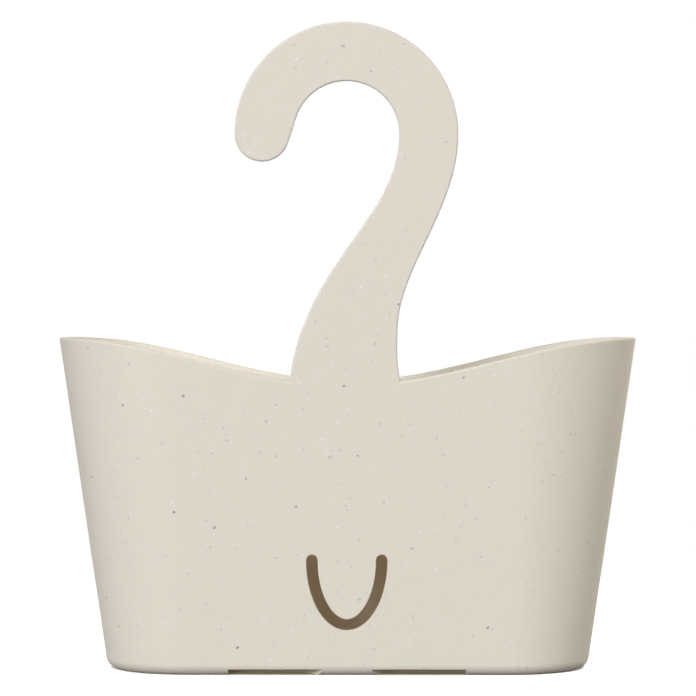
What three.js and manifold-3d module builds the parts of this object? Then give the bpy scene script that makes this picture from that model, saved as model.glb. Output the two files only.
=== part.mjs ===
// A hanging shower basket: a deep tub with flat long sides, round ends and a wavy rim,
// and a question-mark hook whose tongue is let into a notch in the front wall.
// Millimetres, +Z up. The front faces -Y. The origin is the middle of the underside.

import * as THREE from 'three';
import { mergeVertices } from 'three/addons/utils/BufferGeometryUtils.js';
import Module from 'manifold-3d';

const wasm = await Module();
wasm.setup();

// Tub, measured over the outside. The foot sizes are where the sloping walls would meet the ground.
const rimLength = 290;
const rimDepth = 116;
const footLength = 241.5;
const footDepth = 84;
const endHeight = 166;
const rimDip = 23;
const wallThickness = 2.5;
const floorThickness = 2.5;
const footRounding = 6;

// Smile-shaped slot in the front wall: half an ellipse, measured along the middle of the slot
const smileHalfWidth = 17.1;
const smileDrop = 32;
const smileEndHeight = 57.2;
const smileWidth = 5.5;

// Drain slots: two at the front and two at the back, cut through the floor and its rounded edge
const drainNearEnd = 12;
const drainFarEnd = 58.6;
const drainReach = 15;
const drainRise = 3;
const drainSlant = 9;
const drainCorner = 4;

// Hook, drawn on the slope of the front wall: its arch, its tip, and its stem down to the rim
const archOuterRadius = 53.9;
const archInnerRadius = 25.5;
const tipRadius = 13.2;
const stemLength = 121.6;
const stemLeft = 27.7;
const stemRight = 26.1;
const waistRight = 24.7;
const waistAboveRim = 26.3;
const hookRounding = 1;

// Tongue, the part of the hook that fills the notch, and the pad that laps the wall behind it
const tongueOffset = -1.6;
const tongueTopHalfWidth = 22.9;
const tongueEndHalfWidth = 20;
const tongueLength = 64;
const tongueFlare = 6;
const tongueCorner = 9;
const padThickness = 1.7;
const padLap = 3.5;

// Clearance between pieces that touch, and how far a cutter runs past what it cuts
const fitGap = 0.3;
const overrun = 2;

// Bend handles of the stem's two edges, as shares of its length, and the lean of each edge at the rim
const innerEdgeShares = { fromArch: 0.33, fromRim: 0.47 };
const outerEdgeShares = { fromArch: 0.3, aboveWaist: 0.25, belowWaist: 0.025, fromRim: 0.08 };
const innerRimLean = 0.124;
const outerRimLean = 0.235;

// Steps on the curves
const straightSteps = 20;
const endSteps = 24;
const roundingSteps = 5;
const lipSteps = 6;
const hookCurveSteps = 14;
const hookRoundingSteps = 3;
const smileSteps = 28;
const smileEndSteps = 6;
const rimLineSteps = 16;

// How the tub widens with height
const halfLength = (z) => (footLength + (rimLength - footLength) * z / endHeight) / 2;
const halfDepth = (z) => (footDepth + (rimDepth - footDepth) * z / endHeight) / 2;
const straightHalf = (z) => halfLength(z) - halfDepth(z);
const depthSlope = (rimDepth - footDepth) / endHeight / 2;
const straightSlope = (rimLength - footLength) / endHeight / 2 - depthSlope;
const frontLean = Math.atan(depthSlope);

// The rim is lowest at the middle of each long side and highest at the two ends
const rimHeight = (x) => endHeight - rimDip * (1 + Math.cos(2 * Math.PI * x / rimLength)) / 2;

// Closed triangles to a solid, and back to a geometry for display
function solidOf(geometry) {
  const bare = geometry.clone();
  bare.deleteAttribute('normal');
  bare.deleteAttribute('uv');
  const merged = mergeVertices(bare);
  const corners = merged.index.array;
  const triVerts = [];
  for (let i = 0; i < corners.length; i += 3) {
    const [a, b, c] = corners.slice(i, i + 3);
    if (a !== b && b !== c && c !== a) triVerts.push(a, b, c);
  }
  return new wasm.Manifold(new wasm.Mesh({
    numProp: 3,
    vertProperties: new Float32Array(merged.attributes.position.array),
    triVerts: new Uint32Array(triVerts),
  }));
}

function geometryOf(solid) {
  const { vertProperties, triVerts } = solid.getMesh();
  const geometry = new THREE.BufferGeometry();
  geometry.setAttribute('position', new THREE.BufferAttribute(new Float32Array(vertProperties), 3));
  geometry.setIndex(new THREE.BufferAttribute(new Uint32Array(triVerts), 1));
  const faceted = geometry.toNonIndexed();
  faceted.computeVertexNormals();
  return faceted;
}

// Places around the tub: a share of the straight side, and the direction that the wall faces
function aroundTub() {
  const places = [];
  for (const [share, start] of [[-1, -Math.PI / 2], [1, Math.PI / 2]]) {
    for (let i = 0; i < straightSteps; i++) {
      places.push({ along: share * (1 - 2 * i / straightSteps), facing: start });
    }
    for (let i = 0; i < endSteps; i++) {
      places.push({ along: -share, facing: start + Math.PI * i / endSteps });
    }
  }
  return places;
}

// A point of the tub at a height, set in from the outside face by an amount
function tubPoint(place, inset, z) {
  const reach = halfDepth(z) - inset;
  return [
    place.along * straightHalf(z) + reach * Math.cos(place.facing),
    reach * Math.sin(place.facing),
    z,
  ];
}

// Points of an arc in the wall's section, as distance out and height
function sectionArc(centreOut, centreHeight, radius, from, to, steps) {
  const points = [];
  for (let i = 0; i <= steps; i++) {
    const turn = from + (to - from) * i / steps;
    points.push([centreOut + radius * Math.cos(turn), centreHeight + radius * Math.sin(turn)]);
  }
  return points;
}

// The wall's section where it leans by a slope: up the outside, over the round lip, down the inside
function wallSection(slope, top) {
  const lean = Math.atan(slope);
  const stretch = Math.hypot(1, slope);
  const lipRadius = wallThickness / 2;
  const lipHeight = top - lipRadius;
  const innerRounding = Math.max(footRounding - wallThickness, wallThickness / 2);
  const innerHeight = floorThickness + innerRounding;
  const footOut = slope * footRounding - footRounding * stretch;
  const lipOut = slope * lipHeight - lipRadius * stretch;
  const innerOut = slope * innerHeight - (wallThickness + innerRounding) * stretch;
  const down = -Math.PI / 2;
  return [
    ...sectionArc(footOut, footRounding, footRounding, down, -lean, roundingSteps),
    ...sectionArc(lipOut, lipHeight, lipRadius, -lean, Math.PI - lean, lipSteps),
    ...sectionArc(innerOut, innerHeight, innerRounding, -lean, down, roundingSteps),
  ];
}

// The whole tub as one skin, from the middle line of the underside to the middle line of the floor
function tubSkin() {
  const columns = aroundTub().map((place) => {
    const slope = depthSlope + straightSlope * place.along * Math.cos(place.facing);
    const rimX = tubPoint(place, 0, endHeight)[0];
    const wall = wallSection(slope, rimHeight(rimX)).map(([out, z]) => tubPoint(place, slope * z - out, z));
    return [
      tubPoint(place, halfDepth(0), 0),
      ...wall,
      tubPoint(place, halfDepth(floorThickness), floorThickness),
    ];
  });
  const positions = [];
  columns.forEach((column, i) => {
    const next = columns[(i + 1) % columns.length];
    for (let j = 0; j + 1 < column.length; j++) {
      positions.push(...column[j], ...next[j], ...next[j + 1]);
      positions.push(...column[j], ...next[j + 1], ...column[j + 1]);
    }
  });
  const skin = new THREE.BufferGeometry();
  skin.setAttribute('position', new THREE.Float32BufferAttribute(positions, 3));
  return skin;
}

// The front wall's plane: x stays x, y runs up the slope from the foot line, z comes out of the face
const frontPlane = new THREE.Matrix4()
  .makeRotationX(Math.PI / 2 + frontLean)
  .setPosition(0, -footDepth / 2, 0);
const rimMiddle = rimHeight(0) / Math.cos(frontLean);
const rimLine = (x) => rimHeight(x) / Math.cos(frontLean);

// A flat outline made into a cutter that runs from in front of the wall to some depth behind its face
function frontCutter(shape, depth) {
  const cutter = new THREE.ExtrudeGeometry(shape, {
    depth: depth + overrun,
    bevelEnabled: false,
    curveSegments: hookCurveSteps,
  });
  return cutter.translate(0, 0, -depth);
}

// The tongue's outline, grown all round by an amount: as wide as the stem at the rim, it draws in
// over the flare and tapers to a round-cornered end; its top runs past the rim into the stem
function tongueShape(grow) {
  const top = rimLine(Math.max(stemLeft, stemRight)) + overrun;
  const end = rimMiddle - tongueLength - grow;
  const taper = (tongueTopHalfWidth - tongueEndHalfWidth) / tongueLength;
  const half = (y) => tongueTopHalfWidth + grow - taper * (rimMiddle - y);
  const corner = Math.min(tongueCorner + grow, half(end));
  const drawnIn = rimMiddle - tongueFlare;
  const leftTop = -stemLeft - grow;
  const rightTop = stemRight + grow;
  const left = (y) => tongueOffset - half(y);
  const right = (y) => tongueOffset + half(y);
  const shape = new THREE.Shape();
  shape.moveTo(rightTop, top);
  shape.lineTo(leftTop, top);
  shape.lineTo(leftTop, rimLine(leftTop));
  shape.quadraticCurveTo(left(drawnIn), rimMiddle - tongueFlare / 2, left(drawnIn), drawnIn);
  shape.lineTo(left(end + corner), end + corner);
  shape.quadraticCurveTo(left(end), end, left(end) + corner, end);
  shape.lineTo(right(end) - corner, end);
  shape.quadraticCurveTo(right(end), end, right(end + corner), end + corner);
  shape.lineTo(right(drawnIn), drawnIn);
  shape.quadraticCurveTo(right(drawnIn), rimMiddle - tongueFlare / 2, rightTop, rimLine(rightTop));
  shape.closePath();
  return shape;
}

// A slot of even width with round ends along half an ellipse
function smileShape() {
  const half = smileWidth / 2;
  const side = (turn, outward) => {
    const middle = new THREE.Vector2(smileHalfWidth * Math.cos(turn), smileDrop * Math.sin(turn));
    const across = new THREE.Vector2(smileDrop * Math.cos(turn), smileHalfWidth * Math.sin(turn));
    return middle.addScaledVector(across.normalize(), outward * half);
  };
  const roundEnd = (x, turn) => new THREE.Vector2(x + half * Math.cos(turn), half * Math.sin(turn));
  const points = [];
  for (let i = 0; i <= smileSteps; i++) points.push(side(-Math.PI * i / smileSteps, 1));
  for (let i = 1; i < smileEndSteps; i++) {
    points.push(roundEnd(-smileHalfWidth, Math.PI - Math.PI * i / smileEndSteps));
  }
  for (let i = smileSteps; i >= 0; i--) points.push(side(-Math.PI * i / smileSteps, -1));
  for (let i = 1; i < smileEndSteps; i++) {
    points.push(roundEnd(smileHalfWidth, Math.PI - Math.PI * i / smileEndSteps));
  }
  return new THREE.Shape(points);
}

// One drain slot seen from above: square at its far end, slanted at the end near the middle
function drainCutter(sideways, fore) {
  const outside = footDepth / 2 + overrun;
  const inside = footDepth / 2 - drainReach;
  const nearAt = (y) => drainNearEnd + drainSlant * (footDepth / 2 - y) / drainReach;
  const at = (x, y) => [sideways * x, fore * y];
  const shape = new THREE.Shape();
  shape.moveTo(...at(nearAt(outside), outside));
  shape.lineTo(...at(nearAt(inside + drainCorner), inside + drainCorner));
  shape.quadraticCurveTo(...at(nearAt(inside), inside), ...at(nearAt(inside) + drainCorner, inside));
  shape.lineTo(...at(drainFarEnd - drainCorner, inside));
  shape.quadraticCurveTo(...at(drainFarEnd, inside), ...at(drainFarEnd, inside + drainCorner));
  shape.lineTo(...at(drainFarEnd, outside));
  shape.closePath();
  const cutter = new THREE.ExtrudeGeometry(shape, {
    depth: drainRise + overrun,
    bevelEnabled: false,
    curveSegments: roundingSteps,
  });
  return cutter.translate(0, 0, -overrun);
}

// Tub: the skin less the hook's notch, the smile slot and the four drain slots
function basketTub() {
  const notch = frontCutter(tongueShape(fitGap), wallThickness + overrun).applyMatrix4(frontPlane);
  const smile = frontCutter(smileShape(), wallThickness + overrun)
    .translate(0, smileEndHeight, 0)
    .applyMatrix4(frontPlane);
  let tub = solidOf(tubSkin()).subtract(solidOf(notch)).subtract(solidOf(smile));
  for (const sideways of [-1, 1]) {
    for (const fore of [-1, 1]) tub = tub.subtract(solidOf(drainCutter(sideways, fore)));
  }
  return geometryOf(tub);
}

// The hook's flat outline, with the pad that carries on down behind the wall
function hookShape() {
  const archY = rimMiddle + stemLength;
  const tipX = -(archOuterRadius - tipRadius);
  const crossTangent = Math.acos((archInnerRadius + tipRadius) / -tipX);
  const leftY = rimLine(stemLeft);
  const rightY = rimLine(stemRight);
  const waistY = rimMiddle + waistAboveRim;
  const inner = innerEdgeShares;
  const outer = outerEdgeShares;
  const padEnd = rimMiddle - tongueLength - padLap;
  const padHalf = tongueEndHalfWidth + padLap;
  const padCorner = tongueCorner + padLap;
  const padLeft = tongueOffset - padHalf;
  const padRight = tongueOffset + padHalf;

  const shape = new THREE.Shape();
  shape.moveTo(stemRight, rightY);
  shape.bezierCurveTo(
    stemRight - outerRimLean * outer.fromRim * stemLength, rightY + outer.fromRim * stemLength,
    waistRight, waistY - outer.belowWaist * stemLength,
    waistRight, waistY,
  );
  shape.bezierCurveTo(
    waistRight, waistY + outer.aboveWaist * stemLength,
    archOuterRadius, archY - outer.fromArch * stemLength,
    archOuterRadius, archY,
  );
  shape.absarc(0, archY, archOuterRadius, 0, Math.PI, false);
  shape.absarc(tipX, archY, tipRadius, Math.PI, 2 * Math.PI - crossTangent, false);
  shape.absarc(0, archY, archInnerRadius, Math.PI - crossTangent, 0, true);
  shape.bezierCurveTo(
    archInnerRadius, archY - inner.fromArch * stemLength,
    -stemLeft + innerRimLean * inner.fromRim * stemLength, leftY + inner.fromRim * stemLength,
    -stemLeft, leftY,
  );
  shape.lineTo(padLeft, padEnd + padCorner);
  shape.quadraticCurveTo(padLeft, padEnd, padLeft + padCorner, padEnd);
  shape.lineTo(padRight - padCorner, padEnd);
  shape.quadraticCurveTo(padRight, padEnd, padRight, padEnd + padCorner);
  shape.closePath();
  return shape;
}

// The space that the wall and its lip take up on both sides of the tongue and below it
function wallSpace() {
  const reach = Math.max(stemLeft, stemRight, tongueTopHalfWidth + padLap) + overrun;
  const floorLine = rimMiddle - tongueLength - padLap - overrun;
  const points = [new THREE.Vector2(-reach, floorLine), new THREE.Vector2(reach, floorLine)];
  for (let i = 0; i <= rimLineSteps; i++) {
    const x = reach - 2 * reach * i / rimLineSteps;
    points.push(new THREE.Vector2(x, rimLine(x) + fitGap));
  }
  const depth = wallThickness + fitGap;
  const space = solidOf(frontCutter(new THREE.Shape(points), depth));
  return space.subtract(solidOf(frontCutter(tongueShape(0), depth + overrun)));
}

// Hook: a rounded plate whose outer face is flush with the wall, less the space that the wall takes
function hangingHook() {
  const thickness = wallThickness + fitGap + padThickness;
  const rounding = Math.min(hookRounding, thickness / 2);
  const plate = new THREE.ExtrudeGeometry(hookShape(), {
    depth: thickness - 2 * rounding,
    bevelEnabled: true,
    bevelThickness: rounding,
    bevelSize: rounding,
    bevelOffset: -rounding,
    bevelSegments: hookRoundingSteps,
    curveSegments: hookCurveSteps,
  });
  plate.translate(0, 0, rounding - thickness);
  return geometryOf(solidOf(plate).subtract(wallSpace()));
}

const plastic = () => new THREE.MeshStandardMaterial({ color: 0xddd5ca, roughness: 0.6, metalness: 0 });

function piece(name, geometry) {
  const mesh = new THREE.Mesh(geometry, plastic());
  mesh.name = name;
  return mesh;
}

const basket = new THREE.Group();
basket.add(piece('basket_tub', basketTub()));

const frontWall = new THREE.Group();
frontWall.rotation.x = Math.PI / 2 + frontLean;
frontWall.position.y = -footDepth / 2;
frontWall.add(piece('hanging_hook', hangingHook()));
basket.add(frontWall);

export default basket;
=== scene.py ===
import math

import bmesh
import bpy
from mathutils import Matrix, Vector


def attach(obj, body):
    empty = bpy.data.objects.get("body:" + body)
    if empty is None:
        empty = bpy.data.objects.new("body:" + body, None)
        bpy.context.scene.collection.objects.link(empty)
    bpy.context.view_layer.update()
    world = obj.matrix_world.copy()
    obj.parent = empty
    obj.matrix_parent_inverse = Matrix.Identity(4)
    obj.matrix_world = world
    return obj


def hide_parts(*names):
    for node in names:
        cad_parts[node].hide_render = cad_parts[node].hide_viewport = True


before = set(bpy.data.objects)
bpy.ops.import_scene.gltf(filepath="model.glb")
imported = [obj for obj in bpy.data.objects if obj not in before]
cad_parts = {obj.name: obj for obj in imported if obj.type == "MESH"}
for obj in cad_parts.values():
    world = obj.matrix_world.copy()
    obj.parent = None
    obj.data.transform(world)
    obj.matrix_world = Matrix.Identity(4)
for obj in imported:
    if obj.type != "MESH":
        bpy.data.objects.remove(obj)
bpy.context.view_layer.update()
print("frame loaded:", sorted(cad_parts))

mm = 0.001
hair = 0.003 * mm  # keeps a cutter's levels just off a face that it would otherwise lie on

# A hanging shower basket seen from the front: camera first, then node helpers, tub, hook, finish, stage
camera = {
    "place": (0.0115, -1.565, 0.17506),
    "target": (0.00023, 0.0, 0.16042),
    "lens": 160.7,
    "sensor": 36.0,
}


def aimCamera(settings):
    data = bpy.data.cameras.new("camera")
    data.lens = settings["lens"]
    data.sensor_width = settings["sensor"]
    seen = bpy.data.objects.new("camera", data)
    bpy.context.scene.collection.objects.link(seen)
    place = Vector(settings["place"])
    turn = (Vector(settings["target"]) - place).to_track_quat("-Z", "Y")
    seen.matrix_world = Matrix.Translation(place) @ turn.to_matrix().to_4x4()
    bpy.context.scene.camera = seen


aimCamera(camera)
bpy.context.scene.view_settings.view_transform = "Standard"
print("camera set")


class Wire:  # a node's socket that Python expressions can be written with
    def __init__(self, maker, socket):
        self.maker = maker
        self.socket = socket

    def other(self, name):  # another output of the same node
        return Wire(self.maker, self.socket.node.outputs[name])

    def __add__(self, value):
        return self.maker.maths("ADD", self, value)

    def __sub__(self, value):
        return self.maker.maths("SUBTRACT", self, value)

    def __mul__(self, value):
        return self.maker.maths("MULTIPLY", self, value)

    def __truediv__(self, value):
        return self.maker.maths("DIVIDE", self, value)

    def __radd__(self, value):
        return self.maker.maths("ADD", value, self)

    def __rsub__(self, value):
        return self.maker.maths("SUBTRACT", value, self)

    def __rmul__(self, value):
        return self.maker.maths("MULTIPLY", value, self)

    def __lt__(self, value):
        return self.maker.maths("LESS_THAN", self, value)

    def kept(self):  # held between 0 and 1
        return self.maker.maths("ADD", self, 0.0, clamped=True)

    def eased(self, low, high):  # 0 below low, 1 above high, smooth between
        return self.maker.add("ShaderNodeMapRange", {"interpolation_type": "SMOOTHSTEP"},
                              {"Value": self, "From Min": low, "From Max": high})


class NodeMaker:  # adds nodes to one tree
    def __init__(self, tree):
        self.tree = tree

    def add(self, kind, settings=None, sockets=None, output=0):
        node = self.tree.nodes.new(kind)
        for name, value in (settings or {}).items():
            setattr(node, name, value)
        for key, value in (sockets or {}).items():
            if isinstance(value, Wire):
                self.tree.links.new(value.socket, node.inputs[key])
            else:
                node.inputs[key].default_value = value
        return Wire(self, node.outputs[output]) if len(node.outputs) else node

    def maths(self, operation, *values, clamped=False):
        return self.add("ShaderNodeMath", {"operation": operation, "use_clamp": clamped},
                        dict(enumerate(values)))

    def mix(self, factor, first, second):  # of two colours
        return self.add("ShaderNodeMix", {"data_type": "RGBA"},
                        {0: factor, 6: first, 7: second}, output=2)


def sceneObject(name, mesh):
    made = bpy.data.objects.new(name, mesh)
    bpy.context.scene.collection.objects.link(made)
    return made


def evaluatedMesh(source, name):  # what the object's modifiers give, as a plain mesh
    bpy.context.view_layer.update()
    graph = bpy.context.evaluated_depsgraph_get()
    mesh = bpy.data.meshes.new_from_object(source.evaluated_get(graph), depsgraph=graph)
    mesh.name = name
    return mesh


# Tub: flat leaning sides and round ends, a lip that dips at the middle, all one wall thickness
basketTub = {
    "rimLength": 290 * mm,
    "rimDepth": 116 * mm,
    "footLength": 241.5 * mm,
    "footDepth": 84 * mm,
    "endHeight": 166 * mm,
    "rimDip": 23 * mm,
    "wall": 2.5 * mm,
    "floor": 2.5 * mm,
    "footRounding": 6 * mm,
    "stepsPerSide": 80,
    "sectionSteps": [6, 10, 30, 14, 30, 8, 6],
    "weldDistance": 0.002 * mm,
}
depthSlope = (basketTub["rimDepth"] - basketTub["footDepth"]) / basketTub["endHeight"] / 2
frontLean = math.atan(depthSlope)
frontPlane = (Matrix.Translation((0, -basketTub["footDepth"] / 2, 0))
              @ Matrix.Rotation(math.pi / 2 + frontLean, 4, "X"))


def rimLine(x):  # height of the front rim up the slope of the front wall
    dip = basketTub["rimDip"] * (1 + math.cos(2 * math.pi * x / basketTub["rimLength"])) / 2
    return (basketTub["endHeight"] - dip) / math.cos(frontLean)


def tubTree(tub, finish):
    tree = bpy.data.node_groups.new("tub loft", "GeometryNodeTree")
    tree.interface.new_socket("Geometry", in_out="OUTPUT", socket_type="NodeSocketGeometry")
    sizes = ["rimLength", "rimDepth", "footLength", "footDepth", "endHeight", "rimDip",
             "wall", "floor", "footRounding", "weldDistance"]
    given = {}
    for name in sizes:
        socket = tree.interface.new_socket(name, in_out="INPUT", socket_type="NodeSocketFloat")
        given[socket.identifier] = tub[name]
    nodes = NodeMaker(tree)
    inputs = nodes.add("NodeGroupInput")
    size = {name: inputs.other(name) for name in sizes}

    # a grid whose X runs round the tub and whose Y runs along the wall's section
    steps = tub["sectionSteps"]
    grid = nodes.add("GeometryNodeMeshGrid", {}, {
        "Size X": 1.0, "Size Y": 1.0,
        "Vertices X": 4 * tub["stepsPerSide"] + 1, "Vertices Y": sum(steps) + 1})
    here = nodes.add("ShaderNodeSeparateXYZ", {}, {0: nodes.add("GeometryNodeInputPosition")})
    around = (here + 0.5) * 4.0
    down = (here.other("Y") + 0.5) * float(sum(steps))

    # round the tub: front side, right end, back side, left end
    along = -1.0 + 2.0 * around.kept() - 2.0 * (around - 2.0).kept()
    facing = math.pi * ((around - 1.0).kept() + (around - 3.0).kept() - 0.5)
    across = nodes.maths("COSINE", facing)
    depthGrowth = (size["rimDepth"] - size["footDepth"]) / size["endHeight"] / 2.0
    lengthGrowth = (size["rimLength"] - size["footLength"]) / size["endHeight"] / 2.0
    endGrowth = (lengthGrowth - depthGrowth) * along * across
    slope = depthGrowth + endGrowth
    lean = nodes.maths("ARCTANGENT", slope)
    stretch = nodes.maths("SQRT", 1.0 + slope * slope)
    rimX = along * (size["rimLength"] - size["rimDepth"]) / 2.0 + across * size["rimDepth"] / 2.0
    wave = nodes.maths("COSINE", rimX / size["rimLength"] * (2 * math.pi))
    top = size["endHeight"] - size["rimDip"] * (1.0 + wave) / 2.0

    # along the section: a centre, a radius and a turn, each moved on by one stage after another
    stages = [((down - float(sum(steps[:i]))) / float(steps[i])).kept() for i in range(len(steps))]
    underside, foot, outside, lip, inside, corner, flat = stages
    half = size["footDepth"] / 2.0
    footRadius = size["footRounding"]
    lipRadius = size["wall"] / 2.0
    innerRadius = size["footRounding"] - size["wall"]
    innerZ = size["floor"] + innerRadius
    lipZ = top - lipRadius
    footOut = slope * footRadius - footRadius * stretch
    lipOut = slope * lipZ - lipRadius * stretch
    innerOut = slope * innerZ - (size["wall"] + innerRadius) * stretch
    quarter = math.pi / 2 - lean
    turn = quarter * foot + math.pi * lip - quarter * corner - math.pi / 2
    radius = footRadius + (lipRadius - footRadius) * outside - (innerRadius + lipRadius) * inside
    centreZ = footRadius + (lipZ - footRadius) * outside + (innerZ - lipZ) * inside
    centreOut = ((half + footOut) * underside + (lipOut - footOut) * outside
                 + (innerOut - lipOut) * inside - half
                 - (half - endGrowth * size["floor"] + innerOut) * flat)
    z = centreZ + radius * nodes.maths("SINE", turn)
    reach = half - endGrowth * z + centreOut + radius * nodes.maths("COSINE", turn)
    straight = (size["footLength"] - size["footDepth"]) / 2.0 + (lengthGrowth - depthGrowth) * z
    place = nodes.add("ShaderNodeCombineXYZ", {}, {
        "X": along * straight + reach * across,
        "Y": reach * nodes.maths("SINE", facing),
        "Z": z})
    moved = nodes.add("GeometryNodeSetPosition", {}, {"Geometry": grid, "Position": place})
    welded = nodes.add("GeometryNodeMergeByDistance", {},
                       {"Geometry": moved, "Distance": size["weldDistance"]})
    smooth = nodes.add("GeometryNodeSetShadeSmooth", {}, {"Geometry": welded})
    real = nodes.add("GeometryNodeRealizeInstances", {}, {"Geometry": smooth})
    nodes.add("NodeGroupOutput", {}, {"Geometry": nodes.add(
        "GeometryNodeSetMaterial", {}, {"Geometry": real, "Material": finish})})
    return tree, given


def offsetLoop(points, amount, least=0.5):  # a closed line of (x, y) points, moved out to its right
    moved = []
    count = len(points)
    for i, point in enumerate(points):
        before = (point - points[i - 1]).normalized()
        after = (points[(i + 1) % count] - point).normalized()
        middle = (before + after).normalized()
        out = Vector((middle.y, -middle.x))
        moved.append(point + out * (amount / max(middle.dot(after), least)))  # a sharp corner less far
    return moved


def loopSolid(name, loops):  # closed mesh through a stack of loops of (x, y, z) points
    mesh = bpy.data.meshes.new(name)
    count = len(loops[0])
    corners = [corner for loop in loops for corner in loop]
    faces = [list(range(count)), list(range((len(loops) - 1) * count, len(loops) * count))]
    for level in range(len(loops) - 1):
        for i in range(count):
            a = level * count + i
            b = level * count + (i + 1) % count
            faces.append([a, b, b + count, a + count])
    mesh.from_pydata(corners, [], faces)
    cleaned = bmesh.new()
    cleaned.from_mesh(mesh)
    bmesh.ops.recalc_face_normals(cleaned, faces=cleaned.faces)
    cleaned.to_mesh(mesh)
    cleaned.free()
    return mesh


def frontSolid(name, outline, levels):  # outline(grow) at each (height out of the front wall, grow)
    mesh = loopSolid(name, [[(p.x, p.y, height) for p in outline(grow)] for height, grow in levels])
    mesh.transform(frontPlane)
    return mesh


def edgeLevels(front, back, frontRounding, backRounding, steps, side):
    # (height, grow) levels of a stack whose front and back edges are rounded: side 1 leaves a hole
    # with rounded edges when it is cut out, and side -1 is a solid with rounded edges
    levels = []
    for i in range(steps + 1):
        turn = math.pi / 2 * i / steps
        levels.append((front - frontRounding * (1 - math.cos(turn)),
                       side * frontRounding * (1 - math.sin(turn))))
    for i in range(steps, -1, -1):
        turn = math.pi / 2 * i / steps
        levels.append((back + backRounding * (1 - math.cos(turn)),
                       side * backRounding * (1 - math.sin(turn))))
    return levels


def arcPoints(centre, radius, start, end, step=math.radians(2.5)):
    count = max(2, round(abs(end - start) / step))
    return [Vector((centre[0] + radius * math.cos(start + (end - start) * i / count),
                    centre[1] + radius * math.sin(start + (end - start) * i / count)))
            for i in range(count + 1)]


def cubicPoints(a, b, c, d, count=36):
    points = []
    for i in range(count + 1):
        t = i / count
        weights = ((1 - t) ** 3, 3 * t * (1 - t) ** 2, 3 * t * t * (1 - t), t ** 3)
        points.append(sum((Vector(p) * w for p, w in zip((a, b, c, d), weights)), Vector((0, 0))))
    return points


def cornerPoints(start, corner, end, count=14):  # a corner rounded by a parabola
    points = []
    for i in range(count + 1):
        t = i / count
        points.append(Vector(start) * (1 - t) ** 2 + Vector(corner) * 2 * t * (1 - t)
                      + Vector(end) * t * t)
    return points


def withoutDoubles(points, gap=0.01 * mm):
    return [p for i, p in enumerate(points) if (p - points[i - 1]).length > gap]


def onlyMaterial(mesh, material):
    mesh.materials.clear()
    mesh.materials.append(material)
    mesh.polygons.foreach_set("material_index", [0] * len(mesh.polygons))


def cutPiece(body, cutters):  # the body less the cutters, which are then removed
    for cutter in cutters:
        cut = body.modifiers.new(cutter.name, "BOOLEAN")
        cut.operation = "DIFFERENCE"
        cut.solver = "EXACT"
        cut.object = cutter
    mesh = evaluatedMesh(body, body.name)
    for cutter in cutters:
        bpy.data.objects.remove(cutter)
    body.modifiers.clear()
    body.data = mesh


def finishShading(piece, sharpAngle=math.radians(32)):  # flat faces stay flat beside rounded edges
    piece.data.shade_smooth()
    piece.data.set_sharp_from_angle(angle=sharpAngle)
    weighted = piece.modifiers.new("even shading", "WEIGHTED_NORMAL")
    weighted.keep_sharp = True
    mesh = evaluatedMesh(piece, piece.name)
    piece.modifiers.clear()
    piece.data = mesh


# Hook: arch, tip and stem on the slope of the front wall, and the tongue that fills the notch
hook = {
    "archOuter": 53.9 * mm,
    "archInner": 25.5 * mm,
    "tip": 13.2 * mm,
    "stemLength": 121.6 * mm,
    "stemLeft": 27.7 * mm,
    "stemRight": 26.1 * mm,
    "waistRight": 24.7 * mm,
    "waistAboveRim": 26.3 * mm,
    "innerFromArch": 0.33,
    "innerFromRim": 0.47,
    "outerFromArch": 0.3,
    "outerAboveWaist": 0.25,
    "outerBelowWaist": 0.025,
    "outerFromRim": 0.08,
    "innerLean": 0.124,
    "outerLean": 0.235,
    "waistSteps": 16,
    "tipStep": math.radians(5),
    "innerStep": math.radians(3),
    "rounding": 1 * mm,
    "roundingSteps": 6,
    "thickness": 4.5 * mm,
    "tongueOffset": -1.6 * mm,
    "tongueTop": 22.9 * mm,
    "tongueEnd": 20 * mm,
    "tongueLength": 64 * mm,
    "tongueFlare": 6 * mm,
    "tongueCorner": 9 * mm,
    "padLap": 3.5 * mm,
    "seamRounding": 0.05 * mm,
    "seamSteps": 2,
    "seamTightness": 0.03 * mm,
    "wallSteps": 32,
    "touch": 0.04 * mm,
    "reach": 2 * mm,
}
rimMiddle = rimLine(0)
archHeight = rimMiddle + hook["stemLength"]


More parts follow.
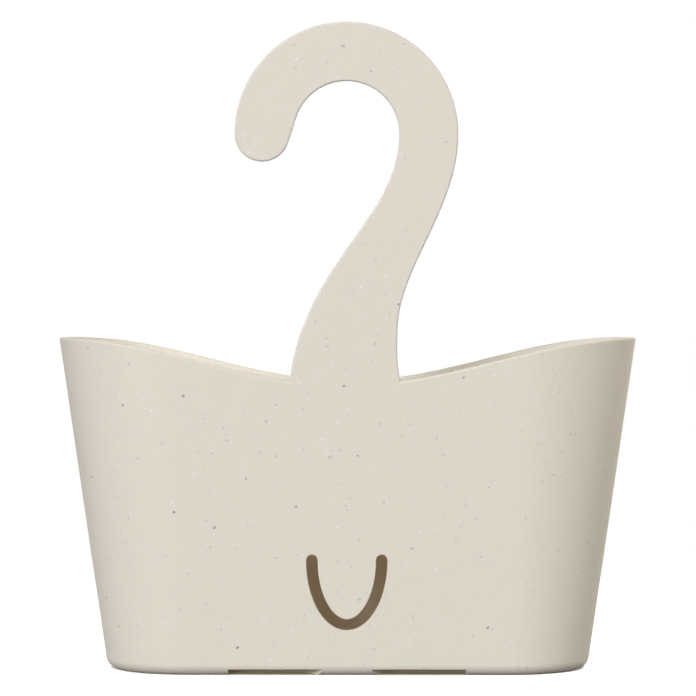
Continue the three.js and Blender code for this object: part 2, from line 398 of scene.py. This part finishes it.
def hookOutline(grow):
    h = hook
    length = h["stemLength"]
    tipX = h["tip"] - h["archOuter"]
    cross = math.acos((h["archInner"] + h["tip"]) / -tipX)
    leftY, rightY = rimLine(h["stemLeft"]), rimLine(h["stemRight"])
    waistY = rimMiddle + h["waistAboveRim"]
    padEnd = rimMiddle - h["tongueLength"] - h["padLap"]
    padHalf = h["tongueEnd"] + h["padLap"]
    padCorner = h["tongueCorner"] + h["padLap"]
    padLeft, padRight = h["tongueOffset"] - padHalf, h["tongueOffset"] + padHalf
    fromRim = h["outerFromRim"] * length
    points = cubicPoints(
        (h["stemRight"], rightY), (h["stemRight"] - h["outerLean"] * fromRim, rightY + fromRim),
        (h["waistRight"], waistY - h["outerBelowWaist"] * length), (h["waistRight"], waistY),
        h["waistSteps"])
    points += cubicPoints(
        (h["waistRight"], waistY), (h["waistRight"], waistY + h["outerAboveWaist"] * length),
        (h["archOuter"], archHeight - h["outerFromArch"] * length), (h["archOuter"], archHeight))
    points += arcPoints((0, archHeight), h["archOuter"], 0, math.pi)
    points += arcPoints((tipX, archHeight), h["tip"], math.pi, 2 * math.pi - cross, h["tipStep"])
    points += arcPoints((0, archHeight), h["archInner"], math.pi - cross, 0, h["innerStep"])
    fromRim = h["innerFromRim"] * length
    points += cubicPoints(
        (h["archInner"], archHeight), (h["archInner"], archHeight - h["innerFromArch"] * length),
        (-h["stemLeft"] + h["innerLean"] * fromRim, leftY + fromRim), (-h["stemLeft"], leftY))
    points += cornerPoints((padLeft, padEnd + padCorner), (padLeft, padEnd),
                           (padLeft + padCorner, padEnd))
    points += cornerPoints((padRight - padCorner, padEnd), (padRight, padEnd),
                           (padRight, padEnd + padCorner))
    return offsetLoop(withoutDoubles(points), grow)


def tongueOutline(grow):
    h = hook
    top = rimLine(h["stemLeft"]) + h["reach"]
    end = rimMiddle - h["tongueLength"] - grow
    taper = (h["tongueTop"] - h["tongueEnd"]) / h["tongueLength"]
    corner = h["tongueCorner"] + grow
    drawnIn = rimMiddle - h["tongueFlare"]
    halfway = rimMiddle - h["tongueFlare"] / 2

    def side(way, y):
        return h["tongueOffset"] + way * (h["tongueTop"] + grow - taper * (rimMiddle - y))

    sides = {-1: -h["stemLeft"] - grow, 1: h["stemRight"] + grow}
    points = [Vector((sides[1], top)), Vector((sides[-1], top))]
    points += cornerPoints((sides[-1], rimLine(sides[-1])), (side(-1, drawnIn), halfway),
                           (side(-1, drawnIn), drawnIn))
    points += cornerPoints((side(-1, end + corner), end + corner), (side(-1, end), end),
                           (side(-1, end) + corner, end))
    points += cornerPoints((side(1, end) - corner, end), (side(1, end), end),
                           (side(1, end + corner), end + corner))
    points += cornerPoints((side(1, drawnIn), drawnIn), (side(1, drawnIn), halfway),
                           (sides[1], rimLine(sides[1])))
    return points


def wallOutline(grow):  # the part of the front plane that the wall fills beside the tongue
    h = hook
    reach = max(h["stemLeft"], h["stemRight"], h["tongueTop"] + h["padLap"]) + h["reach"]
    low = rimMiddle - h["tongueLength"] - h["padLap"] - h["reach"]
    points = [Vector((-reach, low)), Vector((reach, low))]
    for i in range(h["wallSteps"] + 1):
        x = reach - 2 * reach * i / h["wallSteps"]
        points.append(Vector((x, rimLine(x) + h["touch"])))
    return points


def tongueLevels(side, back):  # a hairline rounding where the tongue meets the wall's face
    r, tight = hook["seamRounding"], hook["seamTightness"] * (side < 0)
    rounded = edgeLevels(hair, back, r, 0, hook["seamSteps"], side)[:hook["seamSteps"] + 1]
    levels = [(hook["reach"], side * r), *rounded, (back - hook["reach"], 0)]
    return [(height, grow + tight) for height, grow in levels]


def makeHook(finish):
    h = hook
    plate = sceneObject("hook", frontSolid("hook", hookOutline, edgeLevels(
        0, -h["thickness"], h["rounding"], h["rounding"], h["roundingSteps"], -1)))
    depth = -basketTub["wall"] - h["touch"]
    wall = sceneObject("wall space", frontSolid("wall space", wallOutline,
                                                [(h["reach"], 0), (depth, 0)]))
    tongue = sceneObject("tongue", frontSolid("tongue", tongueOutline, tongueLevels(-1, depth)))
    cutPiece(wall, [tongue])
    cutPiece(plate, [wall])
    onlyMaterial(plate.data, finish)
    finishShading(plate)
    return plate


# Openings of the tub: the smile slot in the front wall and the drain slots at the floor's edge
smile = {
    "halfWidth": 17.1 * mm,
    "drop": 32 * mm,
    "endHeight": 57.2 * mm,
    "width": 5.5 * mm,
    "rounding": 0.5 * mm,
    "innerRounding": 0.4 * mm,
    "roundingSteps": 5,
    "steps": 72,
    "endSteps": 16,
    "reach": 2 * mm,
}
drains = {
    "nearEnd": 12 * mm,
    "farEnd": 58.6 * mm,
    "reach": 15 * mm,
    "rise": 3 * mm,
    "slant": 9 * mm,
    "corner": 4 * mm,
    "overrun": 2 * mm,
}


def smileOutline(grow):
    half = smile["width"] / 2 + grow
    outer, inner = [], []
    for i in range(smile["steps"] + 1):
        turn = -math.pi * i / smile["steps"]
        middle = Vector((smile["halfWidth"] * math.cos(turn), smile["drop"] * math.sin(turn)))
        out = Vector((smile["drop"] * math.cos(turn), smile["halfWidth"] * math.sin(turn))).normalized()
        outer.append(middle + out * half)
        inner.append(middle - out * half)
    step = math.pi / smile["endSteps"]
    leftEnd = arcPoints((-smile["halfWidth"], 0), half, math.pi, 0, step)[1:-1]
    rightEnd = arcPoints((smile["halfWidth"], 0), half, math.pi, 0, step)[1:-1]
    points = outer + leftEnd + inner[::-1] + rightEnd
    return [p + Vector((0, smile["endHeight"])) for p in points]


def drainOutline(sideways, fore):
    d = drains
    edge = basketTub["footDepth"] / 2
    outside, inside = edge + d["overrun"], edge - d["reach"]

    def near(y):
        return d["nearEnd"] + d["slant"] * (edge - y) / d["reach"]

    points = [Vector((near(outside), outside))]
    points += cornerPoints((near(inside + d["corner"]), inside + d["corner"]), (near(inside), inside),
                           (near(inside) + d["corner"], inside))
    points += cornerPoints((d["farEnd"] - d["corner"], inside), (d["farEnd"], inside),
                           (d["farEnd"], inside + d["corner"]))
    points.append(Vector((d["farEnd"], outside)))
    return [Vector((sideways * p.x, fore * p.y)) for p in points]


def makeTub(finish):
    tub = sceneObject("tub", bpy.data.meshes.new("tub"))
    loft = tub.modifiers.new("loft", "NODES")
    tree, given = tubTree(basketTub, finish)
    loft.node_group = tree
    for identifier, value in given.items():
        loft[identifier] = value
    mesh = evaluatedMesh(tub, "tub")
    tub.modifiers.remove(loft)
    onlyMaterial(mesh, finish)
    tub.data = mesh
    back = -basketTub["wall"]
    notch = sceneObject("notch", frontSolid("notch", tongueOutline, tongueLevels(1, back)))
    r, inner = smile["rounding"], smile["innerRounding"]
    slot = sceneObject("smile", frontSolid("smile", smileOutline, [
        (smile["reach"], r), *edgeLevels(hair, back - hair, r, inner, smile["roundingSteps"], 1),
        (back - smile["reach"], inner)]))
    cutters = [notch, slot]
    heights = (-drains["overrun"], drains["rise"])
    for sideways in (-1, 1):
        for fore in (-1, 1):
            outline = drainOutline(sideways, fore)
            cutters.append(sceneObject("drain", loopSolid(
                "drain", [[(p.x, p.y, height) for p in outline] for height in heights])))
    cutPiece(tub, cutters)
    finishShading(tub)
    return tub


# Plastic: matte cream with fine brown and grey specks, short fibres and a faint cloudiness
plastic = {
    "colour": (0.715, 0.65, 0.56, 1.0),
    "roughness": 0.6,
    "gloss": 0.15,
    "fibreRoughness": 0.15,
    "cloudRoughness": 0.08,
    "cloudSize": 9.0,
    "cloudDepth": 0.03,
    "mottleSize": 1.7,
    "mottleDepth": 0.08,
    "grainSize": 0.35,
    "grainHeight": 0.004,
    "grainStrength": 0.4,
    "rippleScale": 1.3,  # bends the specks' outlines
    "ripple": (0.8, 0.8, 0.8),
    "leastRadius": 0.45,  # shares of a layer's radius and depth: the least, and what chance adds
    "moreRadius": 1.1,
    "leastDepth": 0.35,
    "moreDepth": 0.65,
    "speckEdge": (0.7, 1.3),
    "seeds": {"tub": 11.0, "hook": 57.0},
    "seedStep": 31.0,
    "seedSpread": (1.0, 1.7, 2.3),
    "specks": [
        {"tint": "brown", "cell": 4.4, "radius": 0.44, "share": 0.42, "depth": 0.3,
         "stretch": (1, 1, 1.5), "turn": (0, 0.4, 0)},
        {"tint": "grey", "cell": 6.0, "radius": 0.46, "share": 0.42, "depth": 0.45,
         "stretch": (1, 1, 1.5), "turn": (0.3, 1.5, 0.2)},
        {"tint": "dark", "cell": 10.0, "radius": 0.46, "share": 0.7, "depth": 0.85,
         "stretch": (1, 1, 1.4), "turn": (0.7, 0.8, 0.4)},
        {"tint": "grey", "cell": 4.5, "radius": 0.20, "share": 0.4, "depth": 0.6,
         "stretch": (1, 1, 4.5), "turn": (0, 0.3, 0)},
        {"tint": "brown", "cell": 4.5, "radius": 0.20, "share": 0.4, "depth": 0.6,
         "stretch": (1, 1, 4.5), "turn": (0.3, 1.4, 0)},
        {"tint": "brown", "cell": 5.0, "radius": 0.22, "share": 0.4, "depth": 0.6,
         "stretch": (1, 1, 3.5), "turn": (0, 2.3, 0.3)},
        {"tint": "light", "cell": 6.0, "radius": 0.40, "share": 1.0, "depth": 0.7,
         "stretch": (1, 1, 1.5), "turn": (0.2, 1.2, 0.1)},
    ],
    "tints": {
        "brown": (0.29, 0.235, 0.18, 1.0),
        "grey": (0.27, 0.26, 0.24, 1.0),
        "dark": (0.15, 0.13, 0.11, 1.0),
        "light": (0.86, 0.82, 0.76, 1.0),
    },
}


def speckMask(nodes, place, layer, seed):
    placed = nodes.add("ShaderNodeMapping", {"vector_type": "TEXTURE"}, {
        "Vector": place, "Location": [seed * spread for spread in plastic["seedSpread"]],
        "Rotation": layer["turn"], "Scale": layer["stretch"]})
    found = nodes.add("ShaderNodeTexVoronoi", {"voronoi_dimensions": "3D", "feature": "F1"},
                      {"Vector": placed, "Scale": 1 / layer["cell"], "Randomness": 1.0})
    chance = nodes.add("ShaderNodeSeparateColor", {}, {"Color": found.other("Color")})
    radius = layer["radius"] * (plastic["leastRadius"] + plastic["moreRadius"] * chance.other("Green"))
    away = found * layer["cell"] / radius
    inside = 1.0 - away.eased(*plastic["speckEdge"])
    strength = plastic["leastDepth"] + plastic["moreDepth"] * chance.other("Blue")
    return inside * (chance < layer["share"]) * strength * layer["depth"]


def speckledPlastic(name, seed):
    material = bpy.data.materials.new(name)
    material.use_nodes = True
    material.node_tree.nodes.clear()
    nodes = NodeMaker(material.node_tree)
    spot = nodes.add("ShaderNodeTexCoord", output="Object")
    place = nodes.add("ShaderNodeVectorMath", {"operation": "SCALE"}, {0: spot, "Scale": 1 / mm})
    ripple = nodes.add("ShaderNodeTexNoise", {}, {
        "Vector": place, "Scale": plastic["rippleScale"], "Detail": 1.0}, output="Color")
    warp = nodes.add("ShaderNodeVectorMath", {"operation": "MULTIPLY_ADD"},
                     {0: ripple, 1: plastic["ripple"], 2: place})
    cloud = nodes.add("ShaderNodeTexNoise", {}, {
        "Vector": place, "Scale": 1 / plastic["cloudSize"], "Detail": 4.0, "Roughness": 0.6})
    mottle = nodes.add("ShaderNodeTexNoise", {}, {
        "Vector": place, "Scale": 1 / plastic["mottleSize"], "Detail": 2.0})
    shade = 1.0 + plastic["cloudDepth"] * (cloud - 0.5) + plastic["mottleDepth"] * (mottle - 0.5)
    colour = nodes.add("ShaderNodeVectorMath", {"operation": "SCALE"},
                       {0: plastic["colour"][:3], "Scale": shade})
    fibres = 0.0
    for number, layer in enumerate(plastic["specks"]):
        mask = speckMask(nodes, warp, layer, seed + plastic["seedStep"] * number)
        colour = nodes.mix(mask, colour, plastic["tints"][layer["tint"]])
        fibres = fibres + mask
    grain = nodes.add("ShaderNodeTexNoise", {}, {
        "Vector": place, "Scale": 1 / plastic["grainSize"], "Detail": 2.0})
    bump = nodes.add("ShaderNodeBump", {}, {
        "Strength": plastic["grainStrength"], "Distance": plastic["grainHeight"] * mm, "Height": grain})
    roughness = plastic["roughness"] + plastic["cloudRoughness"] * (cloud - 0.5)
    surface = nodes.add("ShaderNodeBsdfPrincipled", {}, {
        "Base Color": colour,
        "Roughness": roughness + plastic["fibreRoughness"] * fibres,
        "Specular IOR Level": plastic["gloss"],
        "Normal": bump})
    nodes.add("ShaderNodeOutputMaterial", {}, {"Surface": surface})
    return material


tubPlastic = speckledPlastic("tub plastic", plastic["seeds"]["tub"])
hookPlastic = speckledPlastic("hook plastic", plastic["seeds"]["hook"])
print("plastic made")
tub = makeTub(tubPlastic)
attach(tub, "root")
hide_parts("basket_tub")
print("tub made:", len(tub.data.polygons), "faces")
hangingHook = makeHook(hookPlastic)
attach(hangingHook, "root")
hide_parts("hanging_hook")
print("hook made:", len(hangingHook.data.polygons), "faces")


# Stage: a white floor that keeps the shadow, with painted shade under the basket, white surroundings,
# and soft lamps round the basket
stage = {
    "white": (1.0, 1.0, 1.0, 1.0),
    "floorHalf": 6.0,
    "floorDrop": 0.05 * mm,
    "floorColour": (0.12, 0.12, 0.12, 1.0),
    "floorSeen": (2.1, 2.1, 2.1, 1.0),  # as the camera sees it: white, apart from the shadow
    "world": 0.03,
    "aim": (0, 0, 0.15),
    "underFoot": (36 * mm, 42 * mm),  # the painted shade under the basket fades out between these, measured out from the middle of the foot
    # painted shade and painted bounce light: under the basket the floor has this darker, warm colour in
    # place of the bright white. It stands for the floor's shade there and for the warm light that the
    # tub bounces onto it
    "paintedUnderShade": (0.6, 0.58, 0.47, 1.0),
    "clearNear": 0.3,  # the floor fades to plain white between these
    "clearFar": 0.8,
    "lamps": [
        {"name": "key", "turn": -27, "rise": 17, "size": 3.5, "away": 8.0, "level": 0.91,
         "colour": (0.965, 1.0, 1.03)},
        {"name": "middle", "turn": 12, "rise": 22, "size": 2.6, "away": 8.0, "level": 0.2,
         "colour": (0.98, 1.0, 1.06)},
        {"name": "left", "turn": -100, "rise": 15, "size": 5.1, "away": 8.0, "level": 0.13,
         "colour": (0.96, 1, 0.92)},
        {"name": "side", "turn": 60, "rise": 22, "size": 3.5, "away": 8.0, "level": 0.205,
         "colour": (1, 1, 0.9)},
        {"name": "right", "turn": 105, "rise": 24, "size": 0.45, "away": 0.7, "level": 0.36,
         "colour": (1.02, 1, 0.9)},
        {"name": "back", "turn": 178, "rise": 10, "size": 5.1, "away": 8.0, "level": 0.85,
         "colour": (1, 1, 0.97)},
        # weak and warm, inside the tub, for the light that its thin walls let through
        {"name": "inner", "turn": 0, "rise": 90, "size": 0.2, "away": 0.07, "level": 0.16,
         "colour": (1, 0.55, 0.15), "aim": (0, -0.005, 0.03), "depth": 0.04},
    ],
}


def backgroundSeen(nodes):  # rays by which the surroundings themselves are seen
    path = nodes.add("ShaderNodeLightPath", output="Is Camera Ray")
    return (path + path.other("Is Glossy Ray") + path.other("Is Transmission Ray")).kept()


def makeLamp(settings):  # its level is what it adds to a white surface that faces it
    turn, rise = math.radians(settings["turn"]), math.radians(settings["rise"])
    facing = Vector((math.sin(turn) * math.cos(rise), -math.cos(turn) * math.cos(rise), math.sin(rise)))
    data = bpy.data.lights.new(settings["name"], "AREA")
    data.energy = settings["level"] * (math.pi * settings["away"]) ** 2
    data.shape = "RECTANGLE"
    data.size = settings["size"]
    data.size_y = settings.get("depth", settings["size"])
    data.color = settings["colour"]
    lamp = sceneObject(settings["name"] + " lamp", data)
    lamp.visible_camera = False
    aim = Vector(settings.get("aim", stage["aim"]))
    lamp.matrix_world = (Matrix.Translation(aim + facing * settings["away"])
                         @ facing.to_track_quat("Z", "Y").to_matrix().to_4x4())


def makeFloor():
    half, drop = stage["floorHalf"], -stage["floorDrop"]
    mesh = bpy.data.meshes.new("floor")
    corners = [(-half, -half, drop), (half, -half, drop), (half, half, drop), (-half, half, drop)]
    mesh.from_pydata(corners, [], [(0, 1, 2, 3)])
    floor = sceneObject("floor", mesh)
    paint = bpy.data.materials.new("floor white")
    paint.use_nodes = True
    paint.node_tree.nodes.clear()
    nodes = NodeMaker(paint.node_tree)
    seen = backgroundSeen(nodes)
    spot = nodes.add("ShaderNodeTexCoord", output="Object")
    split = nodes.add("ShaderNodeSeparateXYZ", {}, {0: spot})
    straight = (basketTub["footLength"] - basketTub["footDepth"]) / 2
    beside = nodes.maths("MAXIMUM", nodes.maths("ABSOLUTE", split) - straight, 0.0)
    fromMiddle = nodes.maths("SQRT", beside * beside + split.other("Y") * split.other("Y"))
    under = 1.0 - fromMiddle.eased(*stage["underFoot"])  # painted shade: under the basket the floor takes a darker, warm colour
    colour = nodes.mix(seen, stage["floorColour"], stage["floorSeen"])
    colour = nodes.mix(under, colour, stage["paintedUnderShade"])
    away = nodes.add("ShaderNodeVectorMath", {"operation": "LENGTH"}, {0: spot}, output="Value")
    clear = seen * away.eased(stage["clearNear"], stage["clearFar"])  # plain white away from the basket
    nodes.add("ShaderNodeOutputMaterial", {}, {"Surface": nodes.add("ShaderNodeMixShader", {}, {
        0: clear,
        1: nodes.add("ShaderNodeBsdfDiffuse", {}, {"Color": colour}),
        2: nodes.add("ShaderNodeEmission", {}, {"Color": stage["white"], "Strength": 1.0})})})
    mesh.materials.append(paint)


def makeSurroundings():
    world = bpy.data.worlds.new("surroundings")
    bpy.context.scene.world = world
    world.use_nodes = True
    world.node_tree.nodes.clear()
    nodes = NodeMaker(world.node_tree)
    seen = backgroundSeen(nodes)
    nodes.add("ShaderNodeOutputWorld", {}, {"Surface": nodes.add("ShaderNodeBackground", {}, {
        "Color": stage["white"], "Strength": seen + (1.0 - seen) * stage["world"]})})


makeFloor()
makeSurroundings()
for lampSettings in stage["lamps"]:
    makeLamp(lampSettings)
print("stage made")
